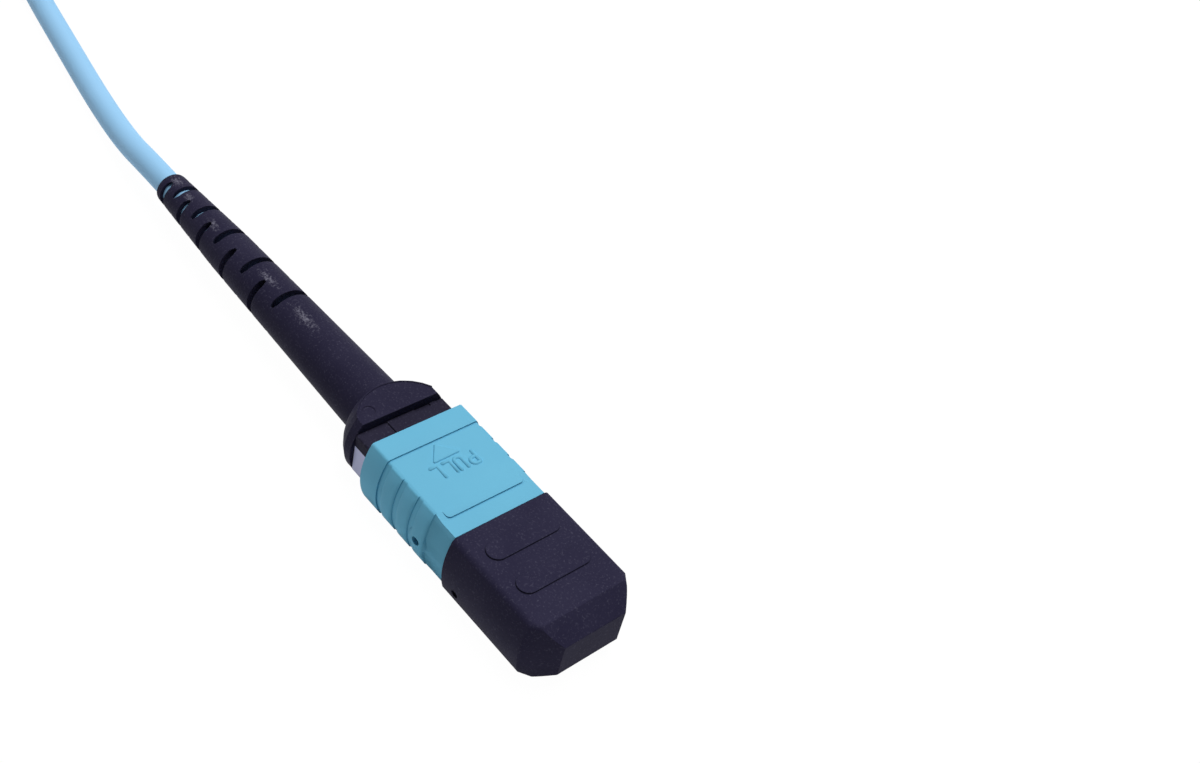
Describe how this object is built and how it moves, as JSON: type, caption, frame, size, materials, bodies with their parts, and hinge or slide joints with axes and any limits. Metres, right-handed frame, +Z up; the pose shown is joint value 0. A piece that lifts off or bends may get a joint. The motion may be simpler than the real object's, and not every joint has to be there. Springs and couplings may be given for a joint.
{
  "type": "mpo fibre connector",
  "caption": "Multi-fibre push-on connector with guide pins, sliding coupling sleeve, slotted boot and dust cap, on a round cable pigtail.",
  "frame": {"origin": "under the middle of the connector, on the surface it lies on", "axes": "+X from the cable towards the dust cap, +Y across the connector, +Z up from the flat face it lies on"},
  "size_m": [0.1602, 0.0578, 0.0098],
  "materials": {
    "black_plastic": "fine matte",
    "aqua_plastic": "satin",
    "pale_mark": "matte",
    "ferrule_plastic": "fine ground",
    "fibre_glass": "polished",
    "pin_steel": "polished",
    "clamp_plastic": "matte",
    "boot_rubber": "satin",
    "ribbon_coat": "clear coat",
    "spring_steel": "drawn wire",
    "crimp_plastic": "matte",
    "aramid": "yarn",
    "crimp_metal": "satin",
    "cable_jacket": "satin",
    "tie_fabric": "woven hook and loop"
  },
  "bodies": {
    "connector": {"inner_housing": "black_plastic", "fibre_one_mark": "pale_mark", "crimp_body": "crimp_plastic", "aramid_yarn": "aramid", "crimp_ring": "crimp_metal", "jacket_in_boot": "cable_jacket", "strain_relief_boot": "boot_rubber", "main_spring": "spring_steel", "coupling_spring_left": "spring_steel", "coupling_spring_right": "spring_steel", "cable": "cable_jacket", "cable_coil": "cable_jacket", "coil_ties": "tie_fabric", "bare_end_yarn": "aramid", "bare_end_fibres": "ribbon_coat"},
    "sleeve": {"coupling_sleeve": "aqua_plastic"},
    "ferrule": {"mt_ferrule": "ferrule_plastic", "fibre_ends": "fibre_glass", "guide_pin_left": "pin_steel", "guide_pin_right": "pin_steel", "pin_clamp": "clamp_plastic", "ferrule_boot": "boot_rubber", "fibre_ribbon": "ribbon_coat"},
    "cap": {"dust_cap": "black_plastic"}
  },
  "joints": [
    {"name": "cap_pull", "type": "slide", "parent": "connector", "child": "cap", "axis": [1, 0, 0], "range_m": [0, 0.03]},
    {"name": "sleeve_pull", "type": "slide", "parent": "connector", "child": "sleeve", "axis": [-1, 0, 0], "range_m": [0, 0.0018], "stiffness_N_per_m": 600, "springref_m": -0.003, "deforming": ["coupling_spring_left", "coupling_spring_right"]},
    {"name": "ferrule_float", "type": "slide", "parent": "connector", "child": "ferrule", "axis": [-1, 0, 0], "range_m": [0, 0.0007], "stiffness_N_per_m": 3000, "springref_m": -0.002, "deforming": ["main_spring"]}
  ]
}
